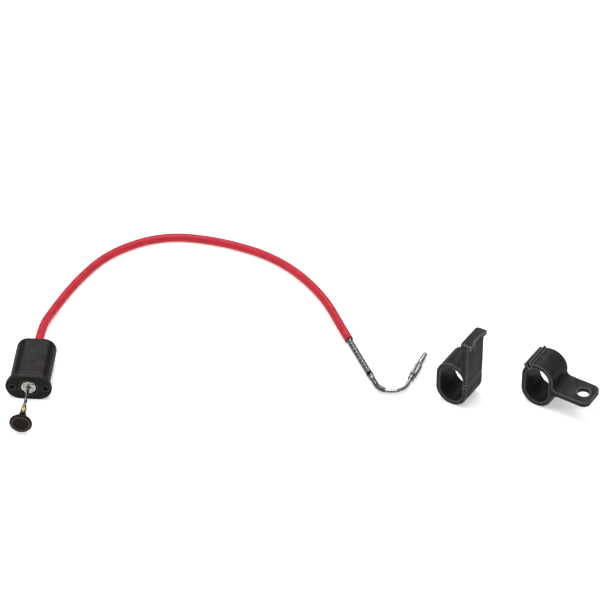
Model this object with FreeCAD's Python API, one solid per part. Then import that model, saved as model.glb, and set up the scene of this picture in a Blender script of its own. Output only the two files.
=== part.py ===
import FreeCAD, Part
import math
import os

os.makedirs("parts", exist_ok=True)

V = FreeCAD.Vector
Y_AXIS = V(0, 1, 0)
Z_AXIS = V(0, 0, 1)

# ---------------------------------------------------------------- grip, mm
AXIS_Z = 9.5            # height of the plunger axis above the surface
FRONT_Y = -1.1          # front face of the cap
FLANGE_W = 29.8
FLANGE_H = 2 * AXIS_Z
CAP_T = 2.0
CAP_BACK_Y = FRONT_Y + CAP_T
BODY_FLANGE_T = 1.6
BODY_FLANGE_IN = 0.35    # the body's own flange is this much smaller all round
BODY_W = 26.0
BODY_H = 15.6
REAR_Y = 41.0
SHOULDER_R = 4.5
STEP_OUT = 0.35          # low step round the body next to the flange
STEP_END_Y = 5.4
CAVITY_W = 17.4
CAVITY_H = 11.2
CAVITY_END_Y = 32.0
PLUG_GAP = 0.1
PLUG_END_Y = 3.6
SCREW_X = 10.8
SCREW_HEAD_D = 3.6
SCREW_HEAD_T = 1.1
SCREW_SINK_D = 4.0
SCREW_SINK_DEEP = 1.5
SCREW_D = 2.0
SCREW_END_Y = 9.5

# guide parts
RECESS_D = 11.8
RECESS_DEEP = 1.4
RECESS_Y = FRONT_Y + RECESS_DEEP
GUIDE_D = 6.8
GUIDE_FRONT_Y = -0.8
GUIDE_END_Y = 12.0
RING_D = 9.4
RING_FRONT_Y = -1.0
NOTCH_W = 1.6
NOTCH_DEEP = 0.9
BARREL_D = 8.5
BARREL_END_Y = 35.0
ANCHOR_END_Y = 37.8
ANCHOR_BORE_D = 2.0

# plunger parts
ROD_D = 2.2
ROD_RUN_D = 2.3
ROD_FRONT_Y = -28.4
ROD_BACK_Y = 14.4
COLLAR_D = 6.3
COLLAR_Y0 = 12.1
TRAVEL = 14.0
FERRULE_Y0 = -25.9
FERRULE_Y1 = -18.9
KNOB_R = 7.3
KNOB_FACE_Y = -35.6
SPRING_D = 6.0
SPRING_WIRE = 0.6
SPRING_TURNS = 8
WIRE_D = 1.4
WIRE_HEAD_END_Y = 36.5

# ---------------------------------------------------------------- cable, mm
SHEATH_D = 5.6
SHEATH_BORE = 4.5
CONDUIT_D = 4.1
CONDUIT_BORE = 2.2
CABLE_Z = SHEATH_D / 2
SHEATH_START_Y = 37.8
WIRE_START_Y = 51.0
METAL_RUN = 36.0        # bare conduit beyond the sheath's end
# corner points of the cord's route, from inside the grip to the conduit's end
ROUTE = [
    (0.0, 36.0, AXIS_Z),
    (0.0, 58.0, AXIS_Z),
    (2.6, 81.0, CABLE_Z),
    (15.2, 115.5, CABLE_Z),
    (32.8, 146.2, CABLE_Z),
    (66.0, 167.5, CABLE_Z),
    (106.0, 165.0, CABLE_Z),
    (146.8, 149.2, CABLE_Z),
    (178.0, 116.2, CABLE_Z),
    (196.7, 75.4, CABLE_Z),
    (215.0, 37.6, CABLE_Z),
]
CORNER_SHARE = 0.45

# ---------------------------------------------------------------- tip, mm
TUBE_D = 2.5
TUBE_BORE = 1.8
BEND_R = 11.0
TIP_ANGLE = math.radians(72.3)
END_FERRULE_L = 5.0
END_FERRULE_D0 = 4.3
END_FERRULE_D1 = 3.5
SLEEVE_D = 3.4
SLEEVE_TURN = math.radians(48.0)
# distances along the tip's straight axis, from the end of the bend
TIP_WIRE_END = 1.4
PIN_START = 2.2
COLLAR_S0 = 4.6
COLLAR_S1 = 8.5
COLLAR_TIP_D = 4.2
COLLAR_NECK_D = 3.2
NUT_S0 = 8.8
NUT_S1 = 20.2
NUT_D = 4.8
NUT_BORE = 2.6
NUT_CAVITY_D = 3.4
NUT_CAVITY_S0 = 11.0
SWIVEL_S0 = 11.3
SWIVEL_S1 = 13.0
SWIVEL_D = 3.2
TUBE_END_S = 13.6
NIPPLE_S0 = 14.4
NIPPLE_S1 = 32.3
NIPPLE_D0 = 3.5
NIPPLE_D1 = 3.0
NIPPLE_BORE = 1.5
PIN_END = 33.0

# ---------------------------------------------------------------- clips, mm
CLIP_TURN = 28.0        # degrees that each clip's axis is turned from +Y to +X
CLIP_GAP = 0.4
CLIP_W = BODY_W + 2 * CLIP_GAP
CLIP_H = BODY_H + 2 * CLIP_GAP
CLIP_WALL = 2.9
CLIP_L = 20.0
CLIP_MID_Z = CLIP_W / 2 + CLIP_WALL
CLIP_OUT_X = CLIP_H / 2 + CLIP_WALL
RAIL_CLIP_AT = (267.8, 16.6)
SPLIT_W = 1.4
SPLIT_TOP_Z = 19.0
SCORE_Z = 26.0
PLATE_T = 6.2
PLATE_TOP_Z = 53.0
LIP_T = 1.6
LIP_OUT = 2.0
LIP_NOTCH = 9.5
LIP_NOTCH_DEEP = 1.1
TOOTH_W = 4.4
TOOTH_T = 1.1
TOOTH_DROP = 1.3
RELIEF_H = 0.5
RELIEF_DEEP = 0.3
SLOT_W = 1.4
SLOT_H = 4.2
SLOT_DROP = 10.0
EDGE_R = 0.45
LUG_CLIP_AT = (321.8, 19.8)
LUG_SPLIT_W = 2.4
RIDGE_H = 1.6
RIDGE_LEFT = 3.2        # from the split's middle to each ridge's outer side
RIDGE_RIGHT = 2.3
LUG_T = 3.5
LUG_UNDER_Z = 13.5
LUG_ROOT_X = CLIP_OUT_X - 1.6
LUG_END_X = 36.0
LUG_CORNER_R = 5.0
LUG_HOLE_X = 28.3
LUG_HOLE_D = 8.5
UNDER_TURN = math.radians(80.0)     # where the lug's lower fillet leaves the ring
UPPER_R = 3.0


# ---------------------------------------------------------------- helpers
def save(shape, name):
    """Write one node and report what it holds."""
    shape.exportStep("parts/%s.step" % name)
    b = shape.BoundBox
    print("%-16s solids %d valid %s vol %.2f box %.2f %.2f %.2f .. %.2f %.2f %.2f" % (
        name, len(shape.Solids), shape.isValid(), shape.Volume,
        b.XMin, b.YMin, b.ZMin, b.XMax, b.YMax, b.ZMax))


def rod_y(diameter, y0, y1, x=0.0, z=AXIS_Z):
    """Round bar along the plunger axis."""
    return Part.makeCylinder(diameter / 2, y1 - y0, V(x, y0, z), Y_AXIS)


def tube_y(outer, bore, y0, y1):
    """Round tube along the plunger axis."""
    return rod_y(outer, y0, y1).cut(rod_y(bore, y0 - 1, y1 + 1))


def revolve(profile, base, axis):
    """Turn a closed (radius, distance) profile about an axis through base."""
    side = V(-axis.y, axis.x, 0)
    points = [base + side * r + axis * s for r, s in profile]
    wire = Part.makePolygon(points + [points[0]])
    solid = Part.Face(wire).revolve(base, axis, 360)
    if solid.Volume < 0:
        solid.reverse()
    return solid


def stadium_wire(width, height, y):
    """Flat-sided oval across the plunger axis, long side along X."""
    r = height / 2
    h = width / 2 - r
    z = AXIS_Z
    top = Part.LineSegment(V(-h, y, z + r), V(h, y, z + r))
    right = Part.Arc(V(h, y, z + r), V(h + r, y, z), V(h, y, z - r))
    low = Part.LineSegment(V(h, y, z - r), V(-h, y, z - r))
    left = Part.Arc(V(-h, y, z - r), V(-h - r, y, z), V(-h, y, z + r))
    return Part.Wire([e.toShape() for e in (top, right, low, left)])


def stadium(width, height, y0, y1):
    """Oval bar between two stations."""
    return Part.Face(stadium_wire(width, height, y0)).extrude(V(0, y1 - y0, 0))


def edges_at_y(shape, y):
    """Edges that lie wholly in one plane across the plunger axis."""
    found = []
    for e in shape.Edges:
        if abs(e.BoundBox.YMin - y) < 1e-3 and abs(e.BoundBox.YMax - y) < 1e-3:
            found.append(e)
    return found


def vertical_stadium(width, height, y0, y1, mid_z):
    """Oval bar along Y with its long side along Z, for the clips."""
    r = height / 2
    h = width / 2 - r
    up = Part.LineSegment(V(-r, y0, mid_z - h), V(-r, y0, mid_z + h))
    top = Part.Arc(V(-r, y0, mid_z + h), V(0, y0, mid_z + h + r), V(r, y0, mid_z + h))
    down = Part.LineSegment(V(r, y0, mid_z + h), V(r, y0, mid_z - h))
    low = Part.Arc(V(r, y0, mid_z - h), V(0, y0, mid_z - h - r), V(-r, y0, mid_z - h))
    wire = Part.Wire([e.toShape() for e in (up, top, down, low)])
    return Part.Face(wire).extrude(V(0, y1 - y0, 0))


# ---------------------------------------------------------------- grip parts
def grip_body():
    """Moulded oval body with its own flange, cavity and cable socket."""
    body = stadium(BODY_W, BODY_H, CAP_BACK_Y, REAR_Y)
    body = body.makeFillet(SHOULDER_R, edges_at_y(body, REAR_Y))
    less = 2 * BODY_FLANGE_IN
    flange = stadium(FLANGE_W - less, FLANGE_H - less, CAP_BACK_Y, CAP_BACK_Y + BODY_FLANGE_T)
    flange = flange.makeFillet(0.5, edges_at_y(flange, CAP_BACK_Y + BODY_FLANGE_T))
    step = stadium(BODY_W + 2 * STEP_OUT, BODY_H + 2 * STEP_OUT, CAP_BACK_Y + 1, STEP_END_Y)
    step = step.makeFillet(0.3, edges_at_y(step, STEP_END_Y))
    body = body.fuse(flange).fuse(step)
    body = body.cut(stadium(CAVITY_W, CAVITY_H, CAP_BACK_Y - 1, CAVITY_END_Y))
    body = body.cut(rod_y(BARREL_D, CAP_BACK_Y - 1, ANCHOR_END_Y))
    body = body.cut(rod_y(SHEATH_D, ANCHOR_END_Y - 1, REAR_Y + 1))
    for x in (-SCREW_X, SCREW_X):
        body = body.cut(rod_y(SCREW_D, CAP_BACK_Y - 1, SCREW_END_Y + 0.5, x))
    return body.removeSplitter()


def front_cap():
    """Screwed cap: flange plate, plug, bush recess and screw counterbores."""
    cap = stadium(FLANGE_W, FLANGE_H, FRONT_Y, CAP_BACK_Y)
    cap = cap.makeFillet(0.5, edges_at_y(cap, FRONT_Y))
    cap = cap.makeFillet(0.25, edges_at_y(cap, CAP_BACK_Y))
    plug = stadium(CAVITY_W - 2 * PLUG_GAP, CAVITY_H - 2 * PLUG_GAP, CAP_BACK_Y - 0.5, PLUG_END_Y)
    cap = cap.fuse(plug)
    cap = cap.cut(rod_y(RECESS_D, FRONT_Y - 1, RECESS_Y))
    cap = cap.cut(rod_y(GUIDE_D, FRONT_Y - 1, PLUG_END_Y + 1))
    for x in (-SCREW_X, SCREW_X):
        cap = cap.cut(rod_y(SCREW_SINK_D, FRONT_Y - 1, FRONT_Y + SCREW_SINK_DEEP, x))
        cap = cap.cut(rod_y(SCREW_D, FRONT_Y, PLUG_END_Y + 1, x))
    return cap.removeSplitter()


def cap_screw(x):
    """One self-tapping screw with a domed, cross-slotted head."""
    y0 = FRONT_Y + SCREW_SINK_DEEP - SCREW_HEAD_T
    head = rod_y(SCREW_HEAD_D, y0, FRONT_Y + SCREW_SINK_DEEP, x)
    head = head.makeChamfer(0.3, edges_at_y(head, y0))
    screw = head.fuse(rod_y(SCREW_D, y0 + 0.3, SCREW_END_Y, x))
    for dx, dz in ((2.2, 0.5), (0.5, 2.2)):
        slot = Part.makeBox(dx, 0.9, dz, V(x - dx / 2, y0 - 0.3, AXIS_Z - dz / 2))
        screw = screw.cut(slot)
    return screw.removeSplitter()


def guide_bush():
    """Turned guide: softened front edge, countersunk bore and a cross of slits."""
    outer = GUIDE_D / 2
    bore = ROD_RUN_D / 2
    front = GUIDE_FRONT_Y
    profile = [(bore, front + 0.7), (1.9, front), (outer - 0.5, front), (outer, front + 0.4),
               (outer, GUIDE_END_Y), (bore, GUIDE_END_Y)]
    bush = revolve(profile, V(0, 0, AXIS_Z), Y_AXIS)
    for dx, dz in ((5.6, 0.9), (0.9, 5.6)):
        slit = Part.makeBox(dx, 1.2, dz, V(-dx / 2, GUIDE_FRONT_Y - 0.2, AXIS_Z - dz / 2))
        bush = bush.cut(slit)
    return bush.removeSplitter()


def bush_ring():
    """Castellated ring nut round the guide."""
    ring = tube_y(RING_D, GUIDE_D, RING_FRONT_Y, RECESS_Y)
    for k in range(4):
        corner = V(RING_D / 2 - NOTCH_DEEP, RING_FRONT_Y - 0.1, AXIS_Z - NOTCH_W / 2)
        notch = Part.makeBox(2.0, 0.8, NOTCH_W, corner)
        notch.rotate(V(0, 0, AXIS_Z), Y_AXIS, 45 + 90 * k)
        ring = ring.cut(notch)
    return ring.removeSplitter()


def conduit_anchor():
    """Brass plug that closes the barrel and holds the conduit's end."""
    anchor = rod_y(BARREL_D, BARREL_END_Y, ANCHOR_END_Y)
    anchor = anchor.cut(rod_y(ANCHOR_BORE_D, BARREL_END_Y - 1, ANCHOR_END_Y + 1))
    return anchor.cut(rod_y(CONDUIT_D, ROUTE[0][1], ANCHOR_END_Y + 1))


def return_spring():
    """Compression spring between the rod's collar and the anchor."""
    y0 = ROD_BACK_Y + SPRING_WIRE / 2 + 0.02
    y1 = BARREL_END_Y - SPRING_WIRE / 2 - 0.02
    r = (SPRING_D - SPRING_WIRE) / 2
    pitch = (y1 - y0) / SPRING_TURNS
    path = Part.makeHelix(pitch, y1 - y0, r).Edges[0]
    start = path.valueAt(path.FirstParameter)
    along = path.tangentAt(path.FirstParameter)
    ring = Part.Wire(Part.Circle(start, along, SPRING_WIRE / 2).toShape())
    coil = Part.Wire(path).makePipeShell([ring], True, True)
    coil.rotate(V(0, 0, 0), V(1, 0, 0), -90)
    coil.translate(V(0, y0, AXIS_Z))
    return coil


# ---------------------------------------------------------------- plunger parts
def rod_collar():
    """Shoulder pressed on the rod: stop at rest and seat of the spring."""
    return tube_y(COLLAR_D, ROD_D, COLLAR_Y0, ROD_BACK_Y)


def crimp_ferrule():
    """Brass crimp between rod and knob, tapered toward the grip."""
    bore = ROD_D / 2
    profile = [(bore, FERRULE_Y0), (1.75, FERRULE_Y0), (1.75, -23.9), (1.95, -23.3), (1.95, -21.5),
               (1.35, FERRULE_Y1), (bore, FERRULE_Y1)]
    return revolve(profile, V(0, 0, AXIS_Z), Y_AXIS)


def thumb_knob():
    """Mushroom knob: slightly dished face, thin rim, neck that flares."""
    y = KNOB_FACE_Y
    rim = Part.Arc(V(6.0, y, 0), V(7.1, y + 0.35, 0), V(KNOB_R, y + 1.3, 0)).toShape()
    back = Part.Arc(V(KNOB_R, y + 1.3, 0), V(7.0, y + 2.2, 0), V(5.9, y + 2.8, 0)).toShape()
    flare = Part.Arc(V(5.9, y + 2.8, 0), V(3.9, y + 4.3, 0), V(2.8, y + 6.9, 0)).toShape()
    neck = Part.LineSegment(V(2.8, y + 6.9, 0), V(2.3, FERRULE_Y0, 0)).toShape()
    end = Part.LineSegment(V(2.3, FERRULE_Y0, 0), V(ROD_D / 2, FERRULE_Y0, 0)).toShape()
    bore = Part.LineSegment(V(ROD_D / 2, FERRULE_Y0, 0), V(ROD_D / 2, ROD_FRONT_Y, 0)).toShape()
    blind = Part.LineSegment(V(ROD_D / 2, ROD_FRONT_Y, 0), V(0, ROD_FRONT_Y, 0)).toShape()
    mid = Part.LineSegment(V(0, ROD_FRONT_Y, 0), V(0, y + 0.5, 0)).toShape()
    dish = Part.LineSegment(V(0, y + 0.5, 0), V(3.6, y + 0.5, 0)).toShape()
    lip = Part.LineSegment(V(3.6, y + 0.5, 0), V(6.0, y, 0)).toShape()
    wire = Part.Wire([rim, back, flare, neck, end, bore, blind, mid, dish, lip])
    knob = Part.Face(wire).revolve(V(0, 0, 0), Y_AXIS, 360)
    if knob.Volume < 0:
        knob.reverse()
    knob.translate(V(0, 0, AXIS_Z))
    return knob


# ---------------------------------------------------------------- cord
def route_wire(points):
    """Straight runs joined by tangent arcs; returns the wire and the radii."""
    pts = [V(*p) for p in points]
    edges = []
    radii = []
    at = pts[0]
    for a, b, c in zip(pts, pts[1:], pts[2:]):
        u = (b - a).normalize()
        w = (c - b).normalize()
        turn = u.getAngle(w)
        back = CORNER_SHARE * min((b - a).Length, (c - b).Length)
        radius = back / math.tan(turn / 2)
        start = b - u * back
        stop = b + w * back
        inward = (w - u).normalize()
        mid = b + inward * (radius / math.cos(turn / 2) - radius)
        edges.append(Part.LineSegment(at, start).toShape())
        edges.append(Part.Arc(start, mid, stop).toShape())
        radii.append(radius)
        at = stop
    edges.append(Part.LineSegment(at, pts[-1]).toShape())
    return Part.Wire(edges), radii


def sweep(wire, diameter):
    """Round bar along a smooth wire."""
    start = wire.Edges[0]
    p = start.valueAt(start.FirstParameter)
    d = start.tangentAt(start.FirstParameter)
    ring = Part.Wire(Part.Circle(p, d, diameter / 2).toShape())
    solid = wire.makePipeShell([ring], True, False)
    if solid.Volume < 0:
        solid.reverse()
    want = math.pi * diameter ** 2 / 4 * wire.Length
    print("  swept D%.2f length %.2f volume %.2f of %.2f" % (diameter, wire.Length, solid.Volume, want))
    return solid


def shorten(wire, head, tail):
    """Take a length off each end of a route wire; both cuts may fall on an arc."""
    edges = list(wire.Edges)
    edges[0] = edges[0].Curve.toShape(edges[0].getParameterByLength(head), edges[0].LastParameter)
    while edges[-1].Length < tail:
        tail -= edges.pop().Length
    last = edges[-1]
    stop = last.getParameterByLength(last.Length - tail)
    edges[-1] = last.Curve.toShape(last.FirstParameter, stop)
    return Part.Wire(edges)


# ---------------------------------------------------------------- tip frame
ROUTE_END = V(*ROUTE[-1])
DIR_IN = (ROUTE_END - V(*ROUTE[-2])).normalize()
DIR_TIP = V(math.cos(TIP_ANGLE), math.sin(TIP_ANGLE), 0)
BEND_TURN = DIR_IN.getAngle(DIR_TIP)
LEAD = 10.0
BEND_START = ROUTE_END + DIR_IN * LEAD
LEFT = V(-DIR_IN.y, DIR_IN.x, 0)
BEND_MID = BEND_START + LEFT * BEND_R


def bend_point(angle):
    """Point on the bend at an angle from its start."""
    return BEND_MID - LEFT * (BEND_R * math.cos(angle)) + DIR_IN * (BEND_R * math.sin(angle))


TIP_ORIGIN = bend_point(BEND_TURN)


def tip_at(s):
    """Point on the tip's straight axis."""
    return TIP_ORIGIN + DIR_TIP * s


def bend_wire(start, turn, straight):
    """Lead-in run, bend through an angle, and an optional straight end."""
    parts = [Part.LineSegment(start, BEND_START).toShape(),
             Part.Arc(BEND_START, bend_point(turn / 2), bend_point(turn)).toShape()]
    if straight > 0:
        parts.append(Part.LineSegment(TIP_ORIGIN, tip_at(straight)).toShape())
    return Part.Wire(parts)


def tip_turned(profile):
    """Turned part about the tip's straight axis."""
    return revolve(profile, TIP_ORIGIN, DIR_TIP)


def conduit_ferrule():
    """Tapered ferrule between the conduit and the bent tube."""
    profile = [(TUBE_D / 2, 0), (END_FERRULE_D0 / 2, 0), (END_FERRULE_D0 / 2, 1.6),
               (END_FERRULE_D1 / 2, END_FERRULE_L), (TUBE_D / 2, END_FERRULE_L)]
    return revolve(profile, ROUTE_END, DIR_IN)


def tip_nut():
    """Knurled grip that turns on the tube and carries the nipple."""
    r = NUT_D / 2
    profile = [(NUT_BORE / 2, NUT_S0), (r - 0.4, NUT_S0), (r, NUT_S0 + 0.5), (r, NUT_S1 - 0.5),
               (r - 0.4, NUT_S1), (NUT_CAVITY_D / 2, NUT_S1), (NUT_CAVITY_D / 2, NUT_CAVITY_S0),
               (NUT_BORE / 2, NUT_CAVITY_S0)]
    return tip_turned(profile)


def tip_nipple():
    """Long tapered nipple with a rounded nose; fine thread left plain."""
    r0 = NIPPLE_D0 / 2
    r1 = NIPPLE_D1 / 2
    b = NIPPLE_BORE / 2
    nose = NIPPLE_S1 - 1.3
    profile = [(b, NIPPLE_S0), (NUT_CAVITY_D / 2, NIPPLE_S0), (NUT_CAVITY_D / 2, NUT_S1),
               (r0, NUT_S1), (r0, NUT_S1 + 1.0), (r1, nose), (r1 - 0.1, nose + 0.55),
               (r1 - 0.32, nose + 1.0), (b, NIPPLE_S1)]
    return tip_turned(profile)


# ---------------------------------------------------------------- clips
def place_clip(shape, at):
    """Turn a clip about +Z and set it down on the surface."""
    shape.rotate(V(0, 0, 0), Z_AXIS, -CLIP_TURN)
    shape.translate(V(at[0], at[1], 0))
    return shape


def clip_ring():
    """Oval bar that stands on its rounded end, axis along Y from y = 0."""
    return vertical_stadium(CLIP_W + 2 * CLIP_WALL, CLIP_H + 2 * CLIP_WALL, 0, CLIP_L, CLIP_MID_Z)


def bore_clip(shape):
    """Cut the oval opening and soften every edge of the two end faces."""
    shape = shape.cut(vertical_stadium(CLIP_W, CLIP_H, -1, CLIP_L + 1, CLIP_MID_Z)).removeSplitter()
    ends = edges_at_y(shape, 0) + edges_at_y(shape, CLIP_L)
    return shape.makeFillet(EDGE_R, ends)


def plate_lip(x0):
    """Ledge over the plate's outer face, with a hooked tooth at each end."""
    x1 = CLIP_OUT_X + LIP_OUT
    low = PLATE_TOP_Z - LIP_T
    lip = Part.makeBox(x1 - x0 - 3.0, CLIP_L, LIP_T, V(x0 + 3.0, 0, low))
    for y in (0, CLIP_L - TOOTH_W):
        tooth = Part.makeBox(TOOTH_T, TOOTH_W, TOOTH_DROP + 0.5, V(x1 - TOOTH_T, y, low - TOOTH_DROP))
        lip = lip.fuse(tooth)
    y0 = (CLIP_L - LIP_NOTCH) / 2
    notch = Part.makeBox(LIP_NOTCH_DEEP + 1, LIP_NOTCH, LIP_T + 2, V(x1 - LIP_NOTCH_DEEP, y0, low - 1))
    return lip.cut(notch).removeSplitter()


def rail_plate(x0):
    """Tall plate above the split, its back edges and shoulder rounded."""
    plate = Part.makeBox(PLATE_T, CLIP_L, PLATE_TOP_Z - SPLIT_TOP_Z, V(x0, 0, SPLIT_TOP_Z))
    back = [e for e in plate.Edges if abs(e.BoundBox.XMin - x0) < 1e-3
            and e.BoundBox.XLength < 1e-3 and e.BoundBox.ZMax > PLATE_TOP_Z - 1e-3]
    return plate.makeFillet(2.2, back)


def rail_clip():
    """Ring split on its right side; above the split a tall plate with a relieved lip."""
    x0 = CLIP_OUT_X - PLATE_T
    clip = bore_clip(clip_ring().fuse(rail_plate(x0))).fuse(plate_lip(x0))
    split = Part.makeBox(PLATE_T + 8, CLIP_L + 2, SPLIT_W, V(x0 - 1, -1, SPLIT_TOP_Z - SPLIT_W))
    slot = Part.makeBox(2.5, SLOT_W, SLOT_H, V(CLIP_OUT_X - 2.0, 8.2, PLATE_TOP_Z - SLOT_DROP))
    score = Part.makeBox(0.6, CLIP_L + 2, 0.35, V(CLIP_OUT_X - 0.3, -1, SCORE_Z))
    relief_z = PLATE_TOP_Z - LIP_T - TOOTH_DROP - 0.1 - RELIEF_H
    relief = Part.makeBox(0.6, CLIP_L + 2, RELIEF_H, V(CLIP_OUT_X - RELIEF_DEEP, -1, relief_z))
    for tool in (split, slot, score, relief):
        clip = clip.cut(tool)
    return place_clip(clip.removeSplitter(), RAIL_CLIP_AT)


def lug_plate():
    """Flat lug with rounded end corners and a bolt hole."""
    size = (LUG_END_X - LUG_ROOT_X, CLIP_L, LUG_T)
    plate = Part.makeBox(*size, V(LUG_ROOT_X, 0, LUG_UNDER_Z))
    corners = [e for e in plate.Edges
               if e.BoundBox.ZLength > 1 and e.BoundBox.XMin > LUG_END_X - 0.1]
    plate = plate.makeFillet(LUG_CORNER_R, corners)
    low = V(LUG_HOLE_X, CLIP_L / 2, LUG_UNDER_Z - 1)
    return plate.cut(Part.makeCylinder(LUG_HOLE_D / 2, LUG_T + 2, low, Z_AXIS))


def lug_root():
    """Web between ring and lug, with a fillet below and one above."""
    low_mid = CLIP_MID_Z - (CLIP_W - CLIP_H) / 2
    x1 = CLIP_OUT_X * math.sin(UNDER_TURN)
    z1 = low_mid - CLIP_OUT_X * math.cos(UNDER_TURN)
    r = (LUG_UNDER_Z - z1) / (1 - math.cos(UNDER_TURN))
    mid = V(x1 + r * math.sin(UNDER_TURN), 0, z1 - r * math.cos(UNDER_TURN))
    half = UNDER_TURN / 2
    halfway = mid + V(-r * math.sin(half), 0, r * math.cos(half))
    top = LUG_UNDER_Z + LUG_T
    core = LUG_UNDER_Z + LUG_T / 2
    inner = CLIP_OUT_X - 1.5
    outer = CLIP_OUT_X + UPPER_R
    bend = UPPER_R * (1 - math.sqrt(0.5))
    start = V(x1, 0, z1)
    foot = mid + V(0, 0, r)
    line = [foot, V(foot.x, 0, core), V(outer, 0, core), V(outer, 0, top)]
    back = [V(CLIP_OUT_X, 0, top + UPPER_R), V(inner, 0, top + UPPER_R), V(inner, 0, z1), start]
    edges = [Part.Arc(start, halfway, foot).toShape()]
    edges += [Part.LineSegment(a, b).toShape() for a, b in zip(line, line[1:])]
    edges.append(Part.Arc(line[-1], V(CLIP_OUT_X + bend, 0, top + bend), back[0]).toShape())
    edges += [Part.LineSegment(a, b).toShape() for a, b in zip(back, back[1:])]
    return Part.Face(Part.Wire(edges)).extrude(V(0, CLIP_L, 0))


def lug_clip():
    """Ring split at its upper left, with ridges along the split and a lug."""
    clip = bore_clip(clip_ring().fuse(lug_plate()).fuse(lug_root()))
    corner_z = CLIP_MID_Z + CLIP_W / 2 - CLIP_H / 2
    ridge_h = CLIP_OUT_X + RIDGE_H - CLIP_H / 2 - 0.3
    ridge = Part.makeBox(RIDGE_LEFT + RIDGE_RIGHT, CLIP_L, ridge_h, V(-RIDGE_LEFT, 0, CLIP_H / 2 + 0.3))
    soft = [e for e in ridge.Edges if e.BoundBox.YLength > 1 and e.BoundBox.ZMin > CLIP_OUT_X]
    ridge = ridge.makeFillet(0.5, soft)
    low = V(-LUG_SPLIT_W / 2, -1, 2.0)
    split = Part.makeBox(LUG_SPLIT_W, CLIP_L + 2, CLIP_OUT_X + 4, low)
    for tool in (ridge, split):
        tool.rotate(V(0, 0, 0), Y_AXIS, -38)
        tool.translate(V(0, 0, corner_z))
    return place_clip(clip.fuse(ridge).cut(split).removeSplitter(), LUG_CLIP_AT)


# ---------------------------------------------------------------- build
def build_grip():
    """Everything fixed inside and on the grip."""
    save(grip_body(), "grip_body")
    save(front_cap(), "front_cap")
    save(Part.makeCompound([cap_screw(-SCREW_X), cap_screw(SCREW_X)]), "cap_screws")
    save(guide_bush(), "guide_bush")
    save(bush_ring(), "bush_ring")
    save(tube_y(BARREL_D, GUIDE_D, PLUG_END_Y, BARREL_END_Y), "guide_barrel")
    save(conduit_anchor(), "conduit_anchor")
    save(return_spring(), "return_spring")


def build_plunger():
    """Rod, its collar and crimp, the knob and the straight wire head."""
    save(rod_y(ROD_D, ROD_FRONT_Y, ROD_BACK_Y), "plunger_rod")
    save(rod_collar(), "rod_collar")
    save(crimp_ferrule(), "crimp_ferrule")
    save(thumb_knob(), "thumb_knob")
    save(rod_y(WIRE_D, ROD_BACK_Y, WIRE_HEAD_END_Y), "wire_head")


def build_cable():
    """Sheath, conduit and the fixed run of the inner wire."""
    wire, radii = route_wire(ROUTE)
    print("arc radii", ["%.1f" % r for r in radii], "cord length %.1f" % wire.Length)
    sheath_wire = shorten(wire, SHEATH_START_Y - ROUTE[0][1], METAL_RUN)
    sheath = sweep(sheath_wire, SHEATH_D).cut(sweep(sheath_wire, SHEATH_BORE))
    save(sheath, "red_sheath")
    save(sweep(wire, CONDUIT_D).cut(sweep(wire, CONDUIT_BORE)), "conduit")
    edges = list(wire.Edges)
    arc = edges[1]
    edges[0] = Part.LineSegment(V(0, ROUTE[0][1], AXIS_Z), arc.valueAt(arc.FirstParameter)).toShape()
    tail = bend_wire(ROUTE_END, BEND_TURN, TIP_WIRE_END).Edges
    join = Part.LineSegment(edges[-1].valueAt(edges[-1].FirstParameter), BEND_START).toShape()
    full = Part.Wire(edges[:-1] + [join] + tail[1:])
    run = sweep(full, WIRE_D)
    run = run.cut(Part.makeBox(20, WIRE_START_Y, 20, V(-10, 0, 0)))
    save(run, "inner_wire")
    print("sheath length %.1f" % sheath_wire.Length)


def build_tip():
    """Ferrule, bent tube, collars, turning nut and nipple, and the pin."""
    save(conduit_ferrule(), "conduit_ferrule")
    tube_wire = bend_wire(ROUTE_END, BEND_TURN, TUBE_END_S)
    save(sweep(tube_wire, TUBE_D).cut(sweep(tube_wire, TUBE_BORE)), "bent_tube")
    sleeve_wire = bend_wire(ROUTE_END + DIR_IN * END_FERRULE_L, SLEEVE_TURN, 0)
    save(sweep(sleeve_wire, SLEEVE_D).cut(sweep(sleeve_wire, TUBE_D)), "bend_sleeve")
    r = TUBE_D / 2
    neck = COLLAR_NECK_D / 2
    rim = COLLAR_TIP_D / 2
    collar = [(r, COLLAR_S0), (neck, COLLAR_S0), (rim, COLLAR_S0 + 0.9), (rim, COLLAR_S0 + 1.9),
              (neck, COLLAR_S0 + 2.1), (neck, COLLAR_S1), (r, COLLAR_S1)]
    save(tip_turned(collar), "tube_collar")
    swivel = [(r, SWIVEL_S0), (SWIVEL_D / 2, SWIVEL_S0), (SWIVEL_D / 2, SWIVEL_S1), (r, SWIVEL_S1)]
    save(tip_turned(swivel), "swivel_ring")
    save(tip_nut(), "tip_nut")
    save(tip_nipple(), "tip_nipple")
    pin_r = WIRE_D / 2
    pin = [(0, PIN_START), (pin_r, PIN_START), (pin_r, PIN_END - 0.3), (pin_r - 0.3, PIN_END),
           (0, PIN_END)]
    save(tip_turned(pin), "release_pin")
    print("tip origin", TIP_ORIGIN, "dir", DIR_TIP, "turn %.2f" % math.degrees(BEND_TURN))
    print("nose end", tip_at(NIPPLE_S1), "bend start", BEND_START)


def build_clips():
    """The two split holders."""
    save(rail_clip(), "rail_clip")
    save(lug_clip(), "lug_clip")
    t = math.radians(CLIP_TURN)
    x = LUG_CLIP_AT[0] + LUG_HOLE_X * math.cos(t) + CLIP_L / 2 * math.sin(t)
    y = LUG_CLIP_AT[1] - LUG_HOLE_X * math.sin(t) + CLIP_L / 2 * math.cos(t)
    print("lug hole centre %.4f %.4f %.4f" % (x, y, LUG_UNDER_Z + LUG_T / 2))


build_grip()
build_plunger()
build_cable()
build_tip()
build_clips()
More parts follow.
